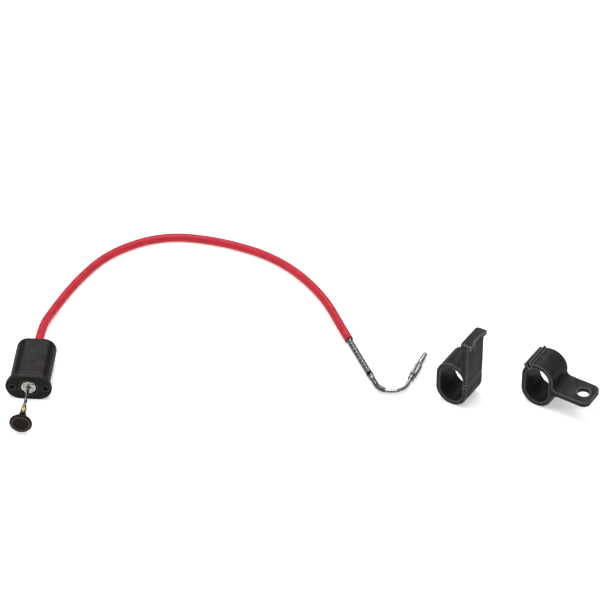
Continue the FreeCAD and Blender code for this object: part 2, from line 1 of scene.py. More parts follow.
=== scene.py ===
import logging
import math
from dataclasses import dataclass, field
from enum import Enum
from typing import Any, Callable, Optional, Sequence

import bmesh
import bpy
from bpy.types import Material, Node, NodeSocket, NodeTree
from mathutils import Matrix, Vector


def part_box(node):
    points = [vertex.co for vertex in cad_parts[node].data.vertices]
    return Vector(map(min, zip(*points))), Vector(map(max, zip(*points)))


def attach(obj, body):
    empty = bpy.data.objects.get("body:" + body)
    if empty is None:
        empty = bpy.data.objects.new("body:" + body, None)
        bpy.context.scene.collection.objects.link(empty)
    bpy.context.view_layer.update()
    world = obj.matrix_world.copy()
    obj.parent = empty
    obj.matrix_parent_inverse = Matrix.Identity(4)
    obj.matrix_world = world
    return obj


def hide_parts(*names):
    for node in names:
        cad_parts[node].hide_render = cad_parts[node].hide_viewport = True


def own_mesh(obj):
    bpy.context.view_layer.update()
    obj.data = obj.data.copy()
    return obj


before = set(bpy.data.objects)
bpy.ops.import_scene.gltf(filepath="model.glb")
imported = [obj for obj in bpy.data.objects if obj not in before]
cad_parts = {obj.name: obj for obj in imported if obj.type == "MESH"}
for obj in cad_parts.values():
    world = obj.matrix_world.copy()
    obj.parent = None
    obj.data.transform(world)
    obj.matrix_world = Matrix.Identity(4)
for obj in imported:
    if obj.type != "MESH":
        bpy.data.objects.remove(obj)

LOG = logging.getLogger("cable_release")
MM = 0.001
ON_AXIS = 1e-7
PARALLEL = 1e-6

Profile = Sequence[tuple[float, float]]
Mesh = tuple[list[Vector], list[tuple[int, ...]]]
Place = tuple[float, float, float]
Tone = tuple[NodeSocket, NodeSocket]


class Body(Enum):
    """The moving groups of the release that a new piece rides on."""

    GRIP = "grip"
    PLUNGER = "plunger"
    TIP = "tip"


class Slot(Enum):
    """Material slots of the record; each new piece is passed one."""

    KNOB = "knob_black"
    RED_PVC = "red_pvc"
    NICKEL = "nickel"
    STEEL = "steel"
    BLACK_STEEL = "black_steel"
    BRASS = "brass"


# ---- materials
def to_linear(hex_colour: str) -> tuple[float, float, float, float]:
    """Turns an sRGB hex colour into linear light.

    Args:
        hex_colour: Colour such as "#1b1b1d".

    Returns:
        Red, green, blue and an alpha of one, linear.
    """
    digits = hex_colour.lstrip("#")
    channels = [int(digits[i:i + 2], 16) / 255 for i in (0, 2, 4)]
    linear = [c / 12.92 if c <= 0.04045 else ((c + 0.055) / 1.055) ** 2.4 for c in channels]
    return linear[0], linear[1], linear[2], 1.0


def add_node(tree: NodeTree, kind: str, values: Optional[dict[Any, Any]] = None,
             links: Optional[dict[Any, NodeSocket]] = None, **settings: Any) -> Node:
    """Adds one node with its settings, input values and incoming links.

    Args:
        tree: Node tree that takes the node.
        kind: Blender's type name of the node, after "ShaderNode".
        values: Input name or index to the value it is set to.
        links: Input name or index to the socket that feeds it.
        **settings: Attributes of the node itself.

    Returns:
        The new node.
    """
    node = tree.nodes.new("ShaderNode" + kind)
    for name, value in settings.items():
        setattr(node, name, value)
    for name, value in (values or {}).items():
        node.inputs[name].default_value = value
    for name, source in (links or {}).items():
        tree.links.new(source, node.inputs[name])
    return node


def per_metre(size_mm: float) -> float:
    """Pattern scale that repeats once per size_mm of a surface in metres."""
    return 1.0 / (size_mm * MM)


@dataclass(frozen=True)
class Ground:
    """A material's node tree and the coordinates its patterns are laid on.

    place is in metres; stretched is the same, scaled along the process direction.
    """

    tree: NodeTree
    place: NodeSocket
    stretched: NodeSocket


@dataclass(frozen=True)
class Finish:
    """What every finish shares: a name, a base colour and its gloss.

    The pattern is two sizes of mottling: one drives colour and roughness, the
    other a fine relief. Subclasses add what their own process leaves behind.
    """

    name: str
    base: str
    shade: str
    roughness: float
    roughness_spread: float
    mottle_mm: float
    grain_mm: float
    relief_mm: float
    stretch: Place = (1.0, 1.0, 1.0)
    glow: float = 0.0
    mottle_detail: float = 5.0
    mottle_roughness: float = 0.62
    mottle_range: tuple[float, float] = (0.32, 0.68)
    grain_detail: float = 3.0
    relief_strength: float = 0.6

    def shader_values(self) -> dict[str, Any]:
        """Constant inputs of the surface shader; none that all finishes share."""
        return {}

    def material(self) -> Material:
        """Builds the material once and returns it on every later call.

        Returns:
            The finished material.
        """
        made = bpy.data.materials.get(self.name)
        if made is not None:
            return made
        made = bpy.data.materials.new(self.name)
        made.use_nodes = True
        tree = made.node_tree
        tree.nodes.clear()
        place = add_node(tree, "TexCoord").outputs["Object"]
        stretched = add_node(tree, "VectorMath", {1: self.stretch}, {0: place},
                             operation="MULTIPLY")
        ground = Ground(tree, place, stretched.outputs["Vector"])
        shader = add_node(tree, "BsdfPrincipled", self.shader_values())
        shader.inputs["Emission Color"].default_value = (1.0, 1.0, 1.0, 1.0)
        shader.inputs["Emission Strength"].default_value = self.glow
        colour, gloss = self.tone(ground)
        tree.links.new(colour, shader.inputs["Base Color"])
        tree.links.new(gloss, shader.inputs["Roughness"])
        tree.links.new(self.relief(ground), shader.inputs["Normal"])
        add_node(tree, "OutputMaterial", links={"Surface": self.surface(tree, shader)})
        return made

    def surface(self, tree: NodeTree, shader: Node) -> NodeSocket:
        """The socket that the output shows: the shader as it is."""
        return shader.outputs["BSDF"]

    def tone(self, ground: Ground) -> Tone:
        """Colour and roughness across the surface.

        Args:
            ground: Tree and coordinates of the material.

        Returns:
            The colour socket and the roughness socket.
        """
        low, high = self.mottle_range
        tree = ground.tree
        patch = add_node(tree, "TexNoise", {
            "Scale": per_metre(self.mottle_mm), "Detail": self.mottle_detail,
            "Roughness": self.mottle_roughness}, {"Vector": ground.stretched})
        ramp = add_node(tree, "MapRange", {"From Min": low, "From Max": high},
                        {"Value": patch.outputs["Fac"]})
        colour = add_node(tree, "Mix", {6: to_linear(self.shade), 7: to_linear(self.base)},
                          {0: ramp.outputs["Result"]}, data_type="RGBA")
        gloss = add_node(tree, "MapRange", {
            "To Min": self.roughness + self.roughness_spread,
            "To Max": self.roughness - self.roughness_spread}, {"Value": ramp.outputs["Result"]})
        return colour.outputs[2], gloss.outputs["Result"]

    def relief(self, ground: Ground) -> NodeSocket:
        """Fine relief of the surface.

        Args:
            ground: Tree and coordinates of the material.

        Returns:
            The normal socket.
        """
        grain = add_node(ground.tree, "TexNoise", {
            "Scale": per_metre(self.grain_mm), "Detail": self.grain_detail},
            {"Vector": ground.stretched})
        bump = add_node(ground.tree, "Bump", {
            "Strength": self.relief_strength, "Distance": self.relief_mm * MM},
            {"Height": grain.outputs["Fac"]})
        return bump.outputs["Normal"]


@dataclass(frozen=True)
class Plastic(Finish):
    """Moulded or extruded plastic, with light rubbed marks where it is handled, and a pale painted
    highlight on its rounded edges.

    Its edge cosines say how well the rounded and the true normal agree where the painted edge
    highlight starts and where it is full.
    """

    ior: float = 1.5
    specular: float = 0.5
    mark: str = "#4a4948"
    mark_mm: float = 5.0
    marks: float = 0.25
    mark_skew: Place = (1.0, 0.22, 0.6)
    mark_detail: float = 8.0
    mark_roughness: float = 0.75
    mark_distortion: float = 0.6
    mark_range: tuple[float, float] = (0.56, 0.74)
    edge: str = "#77746f"
    edge_mm: float = 0.0
    edge_most: float = 0.6
    edge_highlight_cosines: tuple[float, float] = (0.995, 0.90)
    edge_samples: int = 6

    def shader_values(self) -> dict[str, Any]:
        """Constant inputs of the surface shader."""
        return {"IOR": self.ior, "Specular IOR Level": self.specular}

    def tone(self, ground: Ground) -> Tone:
        """Base mottling, sparse paler rubbed streaks and a pale painted highlight on the edges.

        Args:
            ground: Tree and coordinates of the material.

        Returns:
            The colour socket and the roughness socket.
        """
        colour, gloss = super().tone(ground)
        tree = ground.tree
        skew = add_node(tree, "VectorMath", {1: self.mark_skew}, {0: ground.place},
                        operation="MULTIPLY")
        streak = add_node(tree, "TexNoise", {
            "Scale": per_metre(self.mark_mm), "Detail": self.mark_detail,
            "Roughness": self.mark_roughness, "Distortion": self.mark_distortion},
            {"Vector": skew.outputs["Vector"]})
        low, high = self.mark_range
        sparse = add_node(tree, "MapRange", {
            "From Min": low, "From Max": high, "To Max": self.marks},
            {"Value": streak.outputs["Fac"]})
        rub_marks_and_highlight = add_node(tree, "Mix", {7: to_linear(self.mark)},
                          {0: sparse.outputs["Result"], 6: colour}, data_type="RGBA")
        if not self.edge_mm:
            return rub_marks_and_highlight.outputs[2], gloss
        # Painted highlight: the colour turns pale at the edges, where the rounded normal leaves
        # the true one.
        rounded = add_node(tree, "Bevel", {"Radius": self.edge_mm * MM},
                           samples=self.edge_samples)
        true = add_node(tree, "NewGeometry")
        agree = add_node(tree, "VectorMath", links={
            0: rounded.outputs["Normal"], 1: true.outputs["Normal"]}, operation="DOT_PRODUCT")
        no_highlight, full = self.edge_highlight_cosines
        at_edge = add_node(tree, "MapRange", {
            "From Min": no_highlight, "From Max": full, "To Max": self.edge_most},
            {"Value": agree.outputs["Value"]})
        painted_highlight = add_node(tree, "Mix", {7: to_linear(self.edge)},
                        {0: at_edge.outputs["Result"], 6: rub_marks_and_highlight.outputs[2]}, data_type="RGBA")
        return painted_highlight.outputs[2], gloss


@dataclass(frozen=True)
class RimHighlightKnob(Plastic):
    """Moulded knob with a painted highlight: a pale grey ring on its face just inside its bead.

    ring_mm is where the ring starts, is strongest and ends, from the knob's axis.
    """

    rub_marks_and_highlight: str = "#6a625e"
    axis_height_mm: float = 9.5
    ring_mm: Place = (4.7, 5.7, 6.5)
    rim_highlight_most: float = 0.55

    def tone(self, ground: Ground) -> Tone:
        """Plastic's own tone, with the painted highlight ring over it.

        Args:
            ground: Tree and coordinates of the material.

        Returns:
            The colour socket and the roughness socket.
        """
        colour, gloss = super().tone(ground)
        tree = ground.tree
        # Painted highlight: a pale ring round the knob's axis, just inside the bead.
        centred = add_node(tree, "VectorMath",
                           {1: (0.0, 0.0, self.axis_height_mm * MM)}, {0: ground.place},
                           operation="SUBTRACT")
        flat = add_node(tree, "VectorMath", {1: (1.0, 0.0, 1.0)},
                        {0: centred.outputs["Vector"]}, operation="MULTIPLY")
        radius = add_node(tree, "VectorMath", links={0: flat.outputs["Vector"]},
                          operation="LENGTH").outputs["Value"]
        low, middle, high = (size * MM for size in self.ring_mm)
        rise = add_node(tree, "MapRange", {"From Min": low, "From Max": middle},
                        {"Value": radius}, interpolation_type="SMOOTHSTEP")
        fall = add_node(tree, "MapRange", {
            "From Min": high, "From Max": middle, "To Max": self.rim_highlight_most},
            {"Value": radius}, interpolation_type="SMOOTHSTEP")
        ring = add_node(tree, "Math", links={
            0: rise.outputs["Result"], 1: fall.outputs["Result"]}, operation="MULTIPLY")
        painted_highlight = add_node(tree, "Mix", {7: to_linear(self.rub_marks_and_highlight)},
                        {0: ring.outputs["Value"], 6: colour}, data_type="RGBA")
        return painted_highlight.outputs[2], gloss


@dataclass(frozen=True)
class Backdrop(Plastic):
    """Backdrop sheet that shows in glossy parts partly as a grey card would."""

    card: str = "#4a4a4a"
    card_share: float = 0.6

    def surface(self, tree: NodeTree, shader: Node) -> NodeSocket:
        """Mixes in the grey card for mirrored light only.

        Args:
            tree: Node tree of the material.
            shader: The sheet's own shader.

        Returns:
            The socket that the output shows.
        """
        way = add_node(tree, "LightPath")
        share = add_node(tree, "Math", {1: self.card_share},
                         {0: way.outputs["Is Glossy Ray"]}, operation="MULTIPLY")
        card = add_node(tree, "BsdfDiffuse", {"Color": to_linear(self.card)})
        mixed = add_node(tree, "MixShader", links={
            0: share.outputs["Value"], 1: shader.outputs["BSDF"], 2: card.outputs["BSDF"]})
        return mixed.outputs["Shader"]


@dataclass(frozen=True)
class Metal(Finish):
    """Bare or plated metal; its IOR stays at the default."""

    metallic: float = 1.0

    def shader_values(self) -> dict[str, Any]:
        """Constant inputs of the surface shader."""
        return {"Metallic": self.metallic}


# ABS moulded in a spark-eroded tool: near black, satin, a fine even grain that is really about 0.1
# mm and is drawn three times as coarse so that it shows. Its rounded edges carry a pale painted
# highlight.
ABS_MOULDED = Plastic(
    "ABS_injection_moulded_satin", "#23201e", "#191715", 0.33, 0.05, 6.0, 0.32, 0.020,
    specular=0.15, mark="#3a3631", marks=0.30, edge="#6d6a66", edge_mm=1.0)
# The thumb knob is a harder, smoother moulding; a pale grey ring just inside its rim is a painted
# highlight.
PHENOLIC_KNOB = RimHighlightKnob(
    "phenolic_compression_moulded", "#2a201c", "#1d1513", 0.26, 0.06, 4.0, 0.45, 0.008,
    specular=0.12, mark="#453d3a", mark_mm=2.2, marks=0.35)
# Nylon with glass fibre flows in the tool, so its mottling is drawn out nearly along the clip, and
# its edges carry a pale painted highlight.
NYLON_GLASS = Plastic(
    "nylon_glass_filled_moulded", "#353534", "#242423", 0.34, 0.07, 4.5, 0.40, 0.022,
    stretch=(1.0, 0.35, 1.0), specular=0.08, mark="#555452", mark_mm=3.0, marks=0.35,
    edge="#8a8987", edge_mm=1.4, edge_most=0.75)
# Plasticised PVC drawn over the conduit: matte, with a low orange-peel of 0.9 mm.
PVC_EXTRUDED = Plastic(
    "PVC_extruded_red", "#d32437", "#b81b2e", 0.48, 0.06, 5.0, 0.90, 0.035, ior=1.53,
    specular=0.35, mark="#dd4f5b", mark_mm=3.5, marks=0.35)
# Satin nickel over brass: pale and a little warm, with soft glints and faint
# handling haze. It is half metallic so that it stays pale over the grey card.
NICKEL_BRIGHT = Metal(
    "nickel_plated_satin", "#f6f4f0", "#d6d4d0", 0.20, 0.05, 2.0, 0.30, 0.004, metallic=0.45)
# The tip's nickel is thinner and older: it has greyed, but it still mirrors sharply.
NICKEL_AGED = Metal("nickel_plated_aged", "#c4c2bf", "#8f8d8a", 0.10, 0.04, 1.6, 0.30, 0.004)
# Hard-drawn steel wire: grey and half bright, with darker patches of 1.2 mm.
STEEL_DRAWN = Metal("steel_wire_drawn", "#b2b2b3", "#68686a", 0.17, 0.06, 1.2, 0.22, 0.006)
# Free-cutting brass, turned and then crimped; it has begun to tarnish.
BRASS_TURNED = Metal("brass_turned", "#cdb992", "#94805f", 0.24, 0.07, 1.6, 0.25, 0.008)
# Screws blackened in a hot salt bath: dark metal with a dull sheen.
STEEL_BLACKENED = Metal("steel_black_oxide", "#2b2b2d", "#1c1c1e", 0.38, 0.08, 1.0, 0.20, 0.006)
# Translucent backdrop sheet lit a little from below: white, dead matte, a faint
# felt texture of 2 mm, and hardly any shadow.
BACKDROP_SHEET = Backdrop(
    "polypropylene_backdrop_matte", "#fdfdfd", "#fafaf9", 0.90, 0.02, 90.0, 2.0, 0.02,
    glow=0.45, mark="#fbfbfa", mark_mm=60.0, marks=0.2)


# ---- geometry
@dataclass(frozen=True)
class Axis:
    """A turning axis: a point on it and the way it points."""

    base: Vector
    along: Vector

    def sides(self) -> tuple[Vector, Vector]:
        """Two unit vectors across the axis."""
        first = self.along.cross(Vector((0.0, 0.0, 1.0))).normalized()
        return first, self.along.cross(first).normalized()

    def point(self, radius: float, along: float, angle: float) -> Vector:
        """Point at a radius, a distance along the axis and an angle about it."""
        first, second = self.sides()
        around = first * math.cos(angle) + second * math.sin(angle)
        return self.base + self.along * along + around * radius


class Path:
    """A line through space with a frame that doesn't twist along it."""

    def __init__(self, points: Sequence[Vector]) -> None:
        """Measures the line and carries a frame along it.

        Args:
            points: Points of the line, in metres.
        """
        self.points = [Vector(p) for p in points]
        self.reach = [0.0]
        for a, b in zip(self.points, self.points[1:]):
            self.reach.append(self.reach[-1] + (b - a).length)
        self.length = self.reach[-1]
        self.tangents = self._tangents()
        self.normals = self._normals()

    def _tangents(self) -> list[Vector]:
        """Unit direction at each point, from its neighbours."""
        last = len(self.points) - 1
        return [
            (self.points[min(i + 1, last)] - self.points[max(i - 1, 0)]).normalized()
            for i in range(last + 1)
        ]

    def _normals(self) -> list[Vector]:
        """Unit side vectors, each turned as little as its tangent needs."""
        up = Vector((0.0, 0.0, 1.0))
        first = self.tangents[0].cross(up)
        if first.length < PARALLEL:
            first = self.tangents[0].cross(Vector((1.0, 0.0, 0.0)))
        normals = [first.normalized()]
        for a, b in zip(self.tangents, self.tangents[1:]):
            turned = a.rotation_difference(b) @ normals[-1]
            normals.append((turned - b * turned.dot(b)).normalized())
        return normals

    def at(self, distance: float) -> tuple[Vector, Vector, Vector]:
        """Frame at a distance along the line.

        Args:
            distance: Metres from the start.

        Returns:
            The point, the unit tangent and the unit normal there.
        """
        distance = min(max(distance, 0.0), self.length)
        low, high = 0, len(self.reach) - 1
        while high - low > 1:
            mid = (low + high) // 2
            if self.reach[mid] <= distance:
                low = mid
            else:
                high = mid
        span = self.reach[high] - self.reach[low]
        share = 0.0 if span == 0 else (distance - self.reach[low]) / span
        point = self.points[low].lerp(self.points[high], share)
        tangent = self.tangents[low].lerp(self.tangents[high], share).normalized()
        normal = self.normals[low].lerp(self.normals[high], share)
        return point, tangent, (normal - tangent * normal.dot(tangent)).normalized()

    def part(self, start: float, end: float, step: float) -> "Path":
        """The stretch between two distances, with points about a step apart."""
        count = max(2, int(round((end - start) / step)))
        return Path([self.at(start + (end - start) * i / count)[0] for i in range(count + 1)])

    def joined(self, other: "Path") -> "Path":
        """This line with another one carried on from its end."""
        return Path(self.points + other.points[1:])


def stitch(rings: Sequence[Sequence[int]]) -> list[tuple[int, ...]]:
    """Faces from each ring of vertices to the next.

    Args:
        rings: Vertex numbers of each ring; a ring of one vertex is a tip.

    Returns:
        The faces.
    """
    faces: list[tuple[int, ...]] = []
    steps = max(len(ring) for ring in rings)
    for a, b in zip(rings, rings[1:]):
        for k in range(steps):
            n = (k + 1) % steps
            if len(a) == 1:
                faces.append((a[0], b[n], b[k]))
            elif len(b) == 1:
                faces.append((a[k], a[n], b[0]))
            else:
                faces.append((a[k], a[n], b[n], b[k]))
    return faces


def lathe(axis: Axis, profile: Profile, steps: int, closed: bool,
          shape: Optional[Callable[[float, float, float], float]] = None) -> Mesh:
    """Turns a profile about an axis.

    Args:
        axis: The turning axis.
        profile: Radius and distance along the axis of each point, in millimetres.
        steps: Number of steps round the axis.
        closed: True where the profile is a loop round a bore; otherwise it starts
            and ends on the axis.
        shape: Gives the radius from radius, distance and angle, in metres and
            radians; plain if left out.

    Returns:
        Vertices and faces.
    """
    verts: list[Vector] = []
    rings: list[list[int]] = []
    for radius, along in ((r * MM, y * MM) for r, y in profile):
        if radius < ON_AXIS:
            verts.append(axis.point(0.0, along, 0.0))
            rings.append([len(verts) - 1])
            continue
        ring = []
        for k in range(steps):
            angle = 2 * math.pi * k / steps
            r = shape(radius, along, angle) if shape else radius
            verts.append(axis.point(r, along, angle))
            ring.append(len(verts) - 1)
        rings.append(ring)
    return verts, stitch(rings + rings[:1] if closed else rings)


def tube(path: Path, radius: float, sides: int, bore: float = 0.0, round_end: float = 0.0) -> Mesh:
    """Round tube or bar along a path.

    Args:
        path: The line that the middle follows.
        radius: Outer radius in metres.
        sides: Number of sides round the tube.
        bore: Inner radius, or zero for a solid bar.
        round_end: Size of the soft edge at both ends.

    Returns:
        Vertices and faces.
    """
    verts: list[Vector] = []

    def ring(i: int, r: float, push: float = 0.0) -> list[int]:
        """One ring of vertices at a point of the path."""
        centre = path.points[i] + path.tangents[i] * push
        normal = path.normals[i]
        other = path.tangents[i].cross(normal)
        start = len(verts)
        for k in range(sides):
            angle = 2 * math.pi * k / sides
            verts.append(centre + (normal * math.cos(angle) + other * math.sin(angle)) * r)
        return list(range(start, start + sides))

    last = len(path.points) - 1
    rings = [ring(0, radius - round_end)]
    rings += [ring(0, radius, round_end)] if round_end else []
    rings += [ring(i, radius) for i in range(1, last)]
    rings += [ring(last, radius, -round_end)] if round_end else []
    rings += [ring(last, radius - round_end)]
    if bore:
        rings += [ring(i, bore) for i in range(last, -1, -1)] + [rings[0]]
    faces = stitch(rings)
    if not bore:
        faces += [tuple(reversed(rings[0])), tuple(rings[-1])]
    return verts, faces


def coil(path: Path, outer: float, wire: float, pitch: float, steps: int, sides: int,
         start_angle: float = 0.0) -> Mesh:
    """Round wire wound on a path; sizes in millimetres.

    Args:
        path: The line that the coil is wound on.
        outer: Outer radius of the coil.
        wire: Radius of the wire.
        pitch: Advance per turn.
        steps: Points per turn.
        sides: Number of sides round the wire.
        start_angle: Where the first turn starts.

    Returns:
        Vertices and faces.
    """
    radius, advance = (outer - wire) * MM, pitch * MM
    count = max(4, int(round(path.length / advance * steps)))
    points = []
    for i in range(count + 1):
        distance = path.length * i / count
        point, tangent, normal = path.at(distance)
        angle = start_angle + 2 * math.pi * distance / advance
        other = tangent.cross(normal)
        points.append(point + (normal * math.cos(angle) + other * math.sin(angle)) * radius)
    return tube(Path(points), wire * MM, sides)


def merge(*meshes: Mesh) -> Mesh:
    """Several meshes as one, their vertices kept apart."""
    verts: list[Vector] = []
    faces: list[tuple[int, ...]] = []
    for more_verts, more_faces in meshes:
        shift = len(verts)
        verts.extend(more_verts)
        faces.extend(tuple(i + shift for i in face) for face in more_faces)
    return verts, faces


def put(name: str, mesh: Mesh, finish: Finish, slot: Slot, body: Body, *nodes: str,
        sharp_deg: float = 35.0) -> bpy.types.Object:
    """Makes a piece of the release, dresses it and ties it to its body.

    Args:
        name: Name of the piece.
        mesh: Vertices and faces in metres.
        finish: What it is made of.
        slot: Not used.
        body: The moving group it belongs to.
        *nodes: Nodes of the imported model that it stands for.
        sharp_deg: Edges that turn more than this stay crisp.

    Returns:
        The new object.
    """
    data = bpy.data.meshes.new(name)
    data.from_pydata([tuple(v) for v in mesh[0]], [], mesh[1])
    work = bmesh.new()
    work.from_mesh(data)
    bmesh.ops.recalc_face_normals(work, faces=work.faces)
    work.to_mesh(data)
    work.free()
    data.shade_smooth()
    data.set_sharp_from_angle(angle=math.radians(sharp_deg))
    data.materials.append(finish.material())
    piece = bpy.data.objects.new(name, data)
    bpy.context.scene.collection.objects.link(piece)
    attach(piece, body.value)
    if nodes:
        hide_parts(*nodes)
    LOG.info("%s: %d faces on %s", name, len(data.polygons), body.value)
    return piece


def dress(finish: Finish, *nodes: str) -> None:
    """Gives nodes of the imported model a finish.

    Args:
        finish: What they are made of.
        *nodes: Their names.
    """
    for name in nodes:
        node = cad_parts[name]
        node.data.materials.clear()
        node.data.materials.append(finish.material())
        LOG.info("%s: dressed as %s", name, finish.name)


def plunger_axis() -> Axis:
    """Axis of the plunger, read from the thumb knob's place."""
    low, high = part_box("thumb_knob")
    middle = (Vector(low) + Vector(high)) / 2
    return Axis(Vector((middle.x, 0.0, middle.z)), Vector((0.0, 1.0, 0.0)))


# ---- grip
@dataclass
class Grip:
    """Oval grip with its screwed cap, slit guide and castellated ring.

    Sizes are in millimetres; distances run along the plunger axis. A notch's
    flank leans by notch_flank radians, and arc_steps divide the arc to the next.
    """

    ring_outer: float = 4.7
    ring_inner: float = 3.4
    ring_front: float = -1.0
    ring_back: float = 0.3
    notch_radial: float = 0.9
    notch_deep: float = 0.7
    notch_width: float = 1.6
    notches: int = 4
    notch_flank: float = 0.004
    arc_steps: int = 10
    chamfer: float = 0.22
    spring_outer: float = 3.0
    spring_wire: float = 0.3
    spring_start: float = 14.42
    spring_end: float = 34.98
    spring_turns: int = 8
    spring_squeezed: float = 0.32

    def castellated_ring(self) -> Mesh:
        """Ring nut with open notches in its outer front edge.

        Returns:
            Vertices and faces.
        """
        axis = plunger_axis()
        outer, inner = self.ring_outer, self.ring_inner
        front, back, soft = self.ring_front, self.ring_back, self.chamfer
        step = outer - self.notch_radial
        proud = [(inner, back), (outer, back), (outer, front + soft), (outer - soft, front),
                 (step, front), (inner + soft, front), (inner, front + soft)]
        low = front + self.notch_deep
        cut = [(inner, back), (outer, back), (outer, low), (step, low), (step, front),
               (inner + soft, front), (inner, front + soft)]
        half = math.asin(self.notch_width / 2 / outer)
        stations: list[tuple[float, list[tuple[float, float]]]] = []
        turn = 2 * math.pi / self.notches
        for k in range(self.notches):
            middle = math.pi / 4 + k * turn
            stations += [(middle - half, proud), (middle - half + self.notch_flank, cut),
                         (middle + half - self.notch_flank, cut), (middle + half, proud)]
            gap = turn - 2 * half
            stations += [(middle + half + gap * i / self.arc_steps, proud)
                         for i in range(1, self.arc_steps)]
        verts = [axis.point(r * MM, y * MM, angle) for angle, loop in stations for r, y in loop]
        size = len(proud)
        rings = [range(i * size, (i + 1) * size) for i in range(len(stations))]
        return verts, stitch(rings + rings[:1])

    def spring(self) -> Mesh:
        """Return spring, wound between the rod's collar and the anchor.

        Returns:
            Vertices and faces.
        """
        axis = plunger_axis()
        start, end = self.spring_start + self.spring_wire, self.spring_end - self.spring_wire
        line = Path([axis.point(0.0, start * MM, 0.0), axis.point(0.0, end * MM, 0.0)])
        pitch = (end - start) / self.spring_turns
        return coil(line, self.spring_outer, self.spring_wire, pitch, 24, 8)

    def build(self) -> None:
        """Dresses the moulded parts and adds the ring and the spring."""
        dress(ABS_MOULDED, "grip_body", "front_cap")
        dress(STEEL_BLACKENED, "cap_screws")
        dress(NICKEL_BRIGHT, "guide_bush")
        dress(BRASS_TURNED, "guide_barrel", "conduit_anchor")
        put("bush_ring_castellated", self.castellated_ring(), NICKEL_BRIGHT, Slot.NICKEL,
            Body.GRIP, "bush_ring", sharp_deg=25.0)
        spring = put("return_spring_coil", self.spring(), STEEL_DRAWN, Slot.STEEL, Body.GRIP,
                     "return_spring")
        anchor = plunger_axis().point(0.0, self.spring_end * MM, 0.0)
        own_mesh(spring)


# ---- plunger
@dataclass
class Plunger:
    """Stranded rod, brass crimp and mushroom knob; sizes in millimetres."""

    rod_front: float = -28.4
    rod_back: float = 14.4
    rod_radius: float = 1.1
    strands: int = 3
    lay: float = 14.0
    crimp_front: float = -25.9
    crimp_back: float = -18.9
    die_start: float = -23.7
    die_length: float = 2.5
    die_least: float = 1.6
    knob_face: float = -35.6
    knob_radius: float = 7.3
    bead_out: float = 0.85
    bead_deep: float = 0.95
    bead_steps: int = 12

    def rope(self) -> Mesh:
        """Rod of stiff wires twisted together.

        Returns:
            Vertices and faces.
        """
        axis = plunger_axis()
        line = Path([axis.point(0.0, y * MM, 0.0) for y in (self.rod_front, self.rod_back)])
        wire = self.rod_radius / (1 + 1 / math.sin(math.pi / self.strands))
        return merge(*(
            coil(line, self.rod_radius, wire, self.lay, 32, 14, 2 * math.pi * k / self.strands)
            for k in range(self.strands)))

    def crimp(self) -> Mesh:
        """Brass crimp, turned and then squeezed in a hexagonal die.

        Returns:
            Vertices and faces.
        """
        bore, front, back = self.rod_radius + 0.02, self.crimp_front, self.crimp_back
        body = [(bore, front), (1.6, front), (1.75, front + 0.15), (1.75, -24.1), (1.78, -23.8)]
        body += [(1.95, -23.6 + 0.28 * i) for i in range(9)]
        body += [(1.72, -20.5), (1.42, back + 0.15), (1.3, back), (bore, back)]

        def die(radius: float, along: float, angle: float) -> float:
            """Radius left by the six flats of the die."""
            into = along / MM - self.die_start
            if radius / MM < self.die_least or not 0.0 < into < self.die_length:
                return radius
            share = math.sin(math.pi * into / self.die_length) ** 0.5
            flat = math.cos(math.pi / 6) / math.cos((angle % (math.pi / 3)) - math.pi / 6)
            return radius * (1 - share * (1 - flat))

        return lathe(plunger_axis(), body, 72, True, die)

    def knob(self) -> Mesh:
        """Mushroom knob: dished face, bead round the rim, flared back.

        Returns:
            Vertices and faces.
        """
        y, neck = self.knob_face, self.crimp_front
        out, deep = self.bead_out, self.bead_deep
        profile = [(0.0, y + 0.5), (1.2, y + 0.52), (3.2, y + 0.5), (4.4, y + 0.38),
                   (5.2, y + 0.24), (5.6, y + 0.3), (5.75, y + 0.24), (6.0, y + 0.05), (6.3, y)]
        for k in range(self.bead_steps + 1):
            turn = math.pi * k / self.bead_steps
            profile.append((self.knob_radius - out + out * math.sin(turn),
                            y + deep - deep * math.cos(turn)))
        profile += [(6.2, y + 2.3), (5.6, y + 2.75), (4.8, y + 3.3), (4.1, y + 4.0),
                    (3.5, y + 4.9), (3.0, y + 6.0), (2.75, y + 7.0), (2.5, y + 8.4),
                    (2.32, neck - 0.25), (2.1, neck), (0.0, neck)]
        return lathe(plunger_axis(), profile, 96, False)

    def build(self) -> None:
        """Makes the rod, crimp and knob and dresses the inner parts."""
        put("rod_strands", self.rope(), STEEL_DRAWN, Slot.STEEL, Body.PLUNGER, "plunger_rod")
        put("crimp_hex", self.crimp(), BRASS_TURNED, Slot.BRASS, Body.PLUNGER, "crimp_ferrule",
            sharp_deg=24.0)
        put("thumb_knob_mushroom", self.knob(), PHENOLIC_KNOB, Slot.KNOB, Body.PLUNGER,
            "thumb_knob", sharp_deg=60.0)
        dress(BRASS_TURNED, "rod_collar")
        dress(STEEL_DRAWN, "wire_head")


